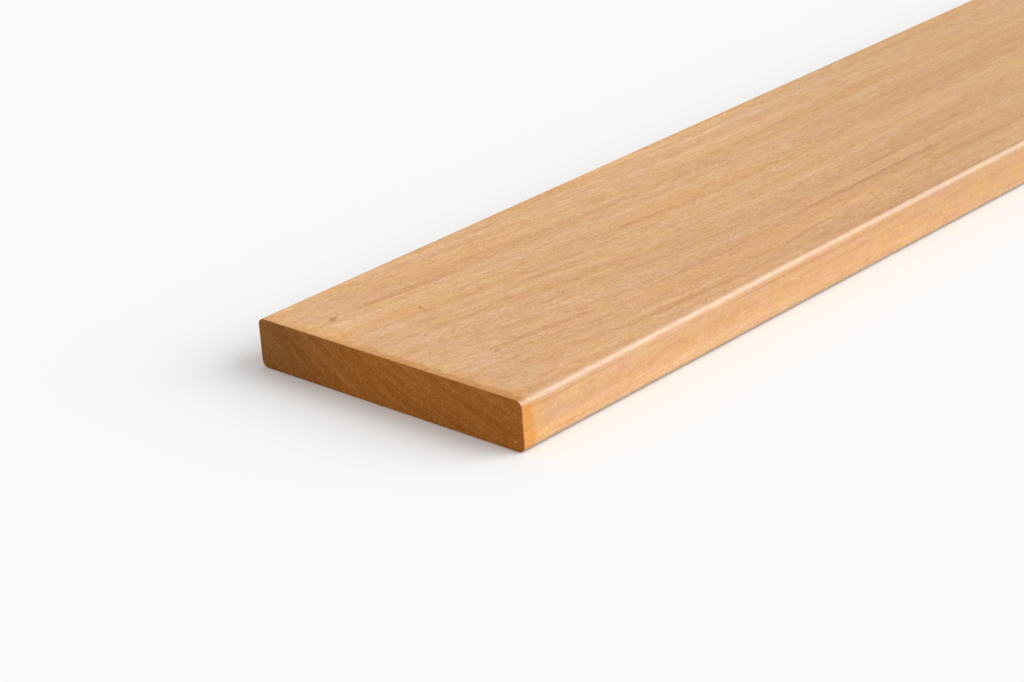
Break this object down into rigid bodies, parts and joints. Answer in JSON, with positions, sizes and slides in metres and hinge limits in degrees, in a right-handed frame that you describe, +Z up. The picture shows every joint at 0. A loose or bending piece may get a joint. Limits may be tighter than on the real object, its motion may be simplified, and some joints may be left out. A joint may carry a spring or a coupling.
{
  "type": "decking board",
  "caption": "Long flat hardwood decking board with smooth faces, rounded long arrises and square sawn ends.",
  "frame": {"origin": "middle of the underside, halfway along the board and halfway across it, on the floor", "axes": "+X across the width, +Y along the length away from the end that the picture shows, +Z up through the thickness to the walked face"},
  "size_m": [0.14, 2.44, 0.021],
  "materials": {
    "hardwood": "planed and lightly oiled, satin"
  },
  "bodies": {
    "root": {"decking_board": "hardwood"}
  },
  "joints": []
}
